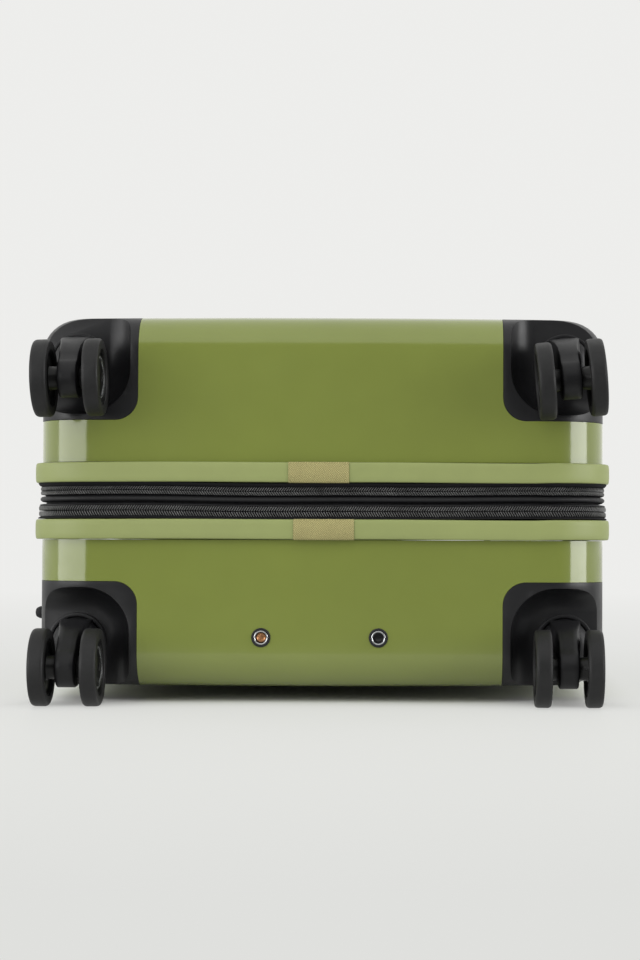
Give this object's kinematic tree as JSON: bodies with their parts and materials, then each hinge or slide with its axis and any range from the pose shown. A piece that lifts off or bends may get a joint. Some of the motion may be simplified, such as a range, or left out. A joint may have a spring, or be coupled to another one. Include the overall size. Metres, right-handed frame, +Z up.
{
  "type": "hard shell suitcase",
  "caption": "Hard shell expandable suitcase on twin-wheel swivel casters, lying on its back, with a telescopic handle, carry handles and a combination lock.",
  "frame": {"origin": "on the floor under the middle of the whole object's box, as it lies on its back", "axes": "+Z up through the case's depth, +Y along its length towards the top handle (the wheel end faces -Y), +X across towards the lock side"},
  "size_m": [0.4755, 0.678, 0.306],
  "materials": {
    "shell": "glossy olive green",
    "rim": "matte, a lighter olive green",
    "webbing": "khaki woven webbing",
    "zip": "black coil zip and tape",
    "cloth": "black polyester cloth",
    "lining": "grey-green lining cloth",
    "plastic": "satin black",
    "gloss_plastic": "glossy black",
    "wheel": "smooth black wheel",
    "rubber": "matte black",
    "steel": "bright",
    "aluminium": "satin anodised",
    "copper": "copper-coloured plated screw"
  },
  "bodies": {
    "case_back": {"back_shell": "shell", "back_rim": "rim", "back_lining": "lining", "back_joint_tape": "webbing", "expansion_zip_back_half": "zip", "expansion_gusset": "cloth", "back_left_housing": "plastic", "back_right_housing": "plastic", "trolley_frame": "aluminium", "trolley_bezel": "plastic", "tube_end_ring_left": "steel", "tube_end_ring_right": "steel", "tube_end_screw": "copper", "top_handle_base": "plastic", "side_handle_base": "plastic", "side_foot_wheel_end": "rubber", "side_foot_top_end": "rubber", "packing_straps": "cloth", "strap_buckle": "gloss_plastic"},
    "mid_frame": {"zip_band": "zip", "hinge_strip": "cloth"},
    "lid": {"front_shell": "shell", "front_rim": "rim", "front_lining": "lining", "front_joint_tape": "webbing", "main_zip_lid_half": "zip", "front_left_housing": "plastic", "front_right_housing": "plastic", "lock_body": "gloss_plastic", "divider_panel": "cloth"},
    "main_slider_a": {"main_zip_slider_a": "zip"},
    "main_slider_b": {"main_zip_slider_b": "zip"},
    "expansion_slider": {"expansion_zip_slider": "zip"},
    "trolley_middle": {"trolley_middle_tube_left": "aluminium", "trolley_middle_tube_right": "aluminium"},
    "trolley_handle": {"trolley_grip": "plastic"},
    "trolley_push_button": {"trolley_button": "gloss_plastic"},
    "top_carry": {"top_handle": "plastic"},
    "side_carry": {"side_handle": "plastic"},
    "dial_1": {"lock_dial_1": "steel"},
    "dial_2": {"lock_dial_2": "steel"},
    "dial_3": {"lock_dial_3": "steel"},
    "lock_release": {"lock_button": "steel"},
    "back_left_caster": {"back_left_fork": "gloss_plastic", "back_left_axle": "steel"},
    "back_left_wheel_a_spin": {"back_left_wheel_a": "wheel"},
    "back_left_wheel_b_spin": {"back_left_wheel_b": "wheel"},
    "back_right_caster": {"back_right_fork": "gloss_plastic", "back_right_axle": "steel"},
    "back_right_wheel_a_spin": {"back_right_wheel_a": "wheel"},
    "back_right_wheel_b_spin": {"back_right_wheel_b": "wheel"},
    "front_left_caster": {"front_left_fork": "gloss_plastic", "front_left_axle": "steel"},
    "front_left_wheel_a_spin": {"front_left_wheel_a": "wheel"},
    "front_left_wheel_b_spin": {"front_left_wheel_b": "wheel"},
    "front_right_caster": {"front_right_fork": "gloss_plastic", "front_right_axle": "steel"},
    "front_right_wheel_a_spin": {"front_right_wheel_a": "wheel"},
    "front_right_wheel_b_spin": {"front_right_wheel_b": "wheel"}
  },
  "joints": [
    {"name": "expansion", "type": "slide", "parent": "case_back", "child": "mid_frame", "axis": [0, 0, 1], "range_m": [0, 0.04], "deforming": ["expansion_gusset"]},
    {"name": "lid_hinge", "type": "hinge", "parent": "mid_frame", "child": "lid", "pos_m": [-0.2315, 0.0205, 0.1669], "axis": [0, -1, 0], "range_deg": [0, 180]},
    {"name": "trolley_first_stage", "type": "slide", "parent": "case_back", "child": "trolley_middle", "axis": [0, 1, 0], "range_m": [0, 0.2]},
    {"name": "trolley_second_stage", "type": "slide", "parent": "trolley_middle", "child": "trolley_handle", "axis": [0, 1, 0], "range_m": [0, 0.2]},
    {"name": "trolley_button_press", "type": "slide", "parent": "trolley_handle", "child": "trolley_push_button", "axis": [0, -1, 0], "range_m": [0, 0.003], "stiffness_N_per_m": 400},
    {"name": "top_handle_lift", "type": "slide", "parent": "case_back", "child": "top_carry", "axis": [0, 1, 0], "range_m": [0, 0.02], "stiffness_N_per_m": 150, "springref_m": -0.006},
    {"name": "side_handle_lift", "type": "slide", "parent": "case_back", "child": "side_carry", "axis": [1, 0, 0], "range_m": [0, 0.02], "stiffness_N_per_m": 150, "springref_m": -0.006},
    {"name": "main_zip_slide_a", "type": "slide", "parent": "mid_frame", "child": "main_slider_a", "axis": [0, -1, 0], "range_m": [0, 0.2]},
    {"name": "main_zip_slide_b", "type": "slide", "parent": "mid_frame", "child": "main_slider_b", "axis": [0, 1, 0], "range_m": [0, 0.2]},
    {"name": "expansion_zip_slide", "type": "slide", "parent": "case_back", "child": "expansion_slider", "axis": [-1, 0, 0], "range_m": [0, 0.3]},
    {"name": "lock_button_press", "type": "slide", "parent": "lid", "child": "lock_release", "axis": [-1, 0, 0], "range_m": [0, 0.0015], "stiffness_N_per_m": 300},
    {"name": "lock_dial_1_turn", "type": "hinge", "parent": "lid", "child": "dial_1", "pos_m": [0.224, -0.0025, 0.21], "axis": [0, 1, 0], "continuous": true},
    {"name": "lock_dial_2_turn", "type": "hinge", "parent": "lid", "child": "dial_2", "pos_m": [0.224, 0.0065, 0.21], "axis": [0, 1, 0], "continuous": true},
    {"name": "lock_dial_3_turn", "type": "hinge", "parent": "lid", "child": "dial_3", "pos_m": [0.224, 0.0155, 0.21], "axis": [0, 1, 0], "continuous": true},
    {"name": "back_left_swivel", "type": "hinge", "parent": "case_back", "child": "back_left_caster", "pos_m": [-0.193, -0.282, 0.0475], "axis": [0, 1, 0], "continuous": true},
    {"name": "back_left_wheel_a_roll", "type": "hinge", "parent": "back_left_caster", "child": "back_left_wheel_a_spin", "pos_m": [-0.193, -0.309, 0.03], "axis": [1, 0, 0], "continuous": true},
    {"name": "back_left_wheel_b_roll", "type": "hinge", "parent": "back_left_caster", "child": "back_left_wheel_b_spin", "pos_m": [-0.193, -0.309, 0.03], "axis": [1, 0, 0], "continuous": true},
    {"name": "back_right_swivel", "type": "hinge", "parent": "case_back", "child": "back_right_caster", "pos_m": [0.193, -0.282, 0.0475], "axis": [0, 1, 0], "continuous": true},
    {"name": "back_right_wheel_a_roll", "type": "hinge", "parent": "back_right_caster", "child": "back_right_wheel_a_spin", "pos_m": [0.193, -0.309, 0.03], "axis": [1, 0, 0], "continuous": true},
    {"name": "back_right_wheel_b_roll", "type": "hinge", "parent": "back_right_caster", "child": "back_right_wheel_b_spin", "pos_m": [0.193, -0.309, 0.03], "axis": [1, 0, 0], "continuous": true},
    {"name": "front_left_swivel", "type": "hinge", "parent": "lid", "child": "front_left_caster", "pos_m": [-0.193, -0.282, 0.2705], "axis": [0, 1, 0], "continuous": true},
    {"name": "front_left_wheel_a_roll", "type": "hinge", "parent": "front_left_caster", "child": "front_left_wheel_a_spin", "pos_m": [-0.19257, -0.309, 0.253], "axis": [0.9997, 0, 0.0244], "continuous": true},
    {"name": "front_left_wheel_b_roll", "type": "hinge", "parent": "front_left_caster", "child": "front_left_wheel_b_spin", "pos_m": [-0.19257, -0.309, 0.253], "axis": [0.9997, 0, 0.0244], "continuous": true},
    {"name": "front_right_swivel", "type": "hinge", "parent": "lid", "child": "front_right_caster", "pos_m": [0.193, -0.282, 0.2705], "axis": [0, 1, 0], "continuous": true},
    {"name": "front_right_wheel_a_roll", "type": "hinge", "parent": "front_right_caster", "child": "front_right_wheel_a_spin", "pos_m": [0.19446, -0.309, 0.25306], "axis": [0.9965, 0, 0.0837], "continuous": true},
    {"name": "front_right_wheel_b_roll", "type": "hinge", "parent": "front_right_caster", "child": "front_right_wheel_b_spin", "pos_m": [0.19446, -0.309, 0.25306], "axis": [0.9965, 0, 0.0837], "continuous": true}
  ]
}
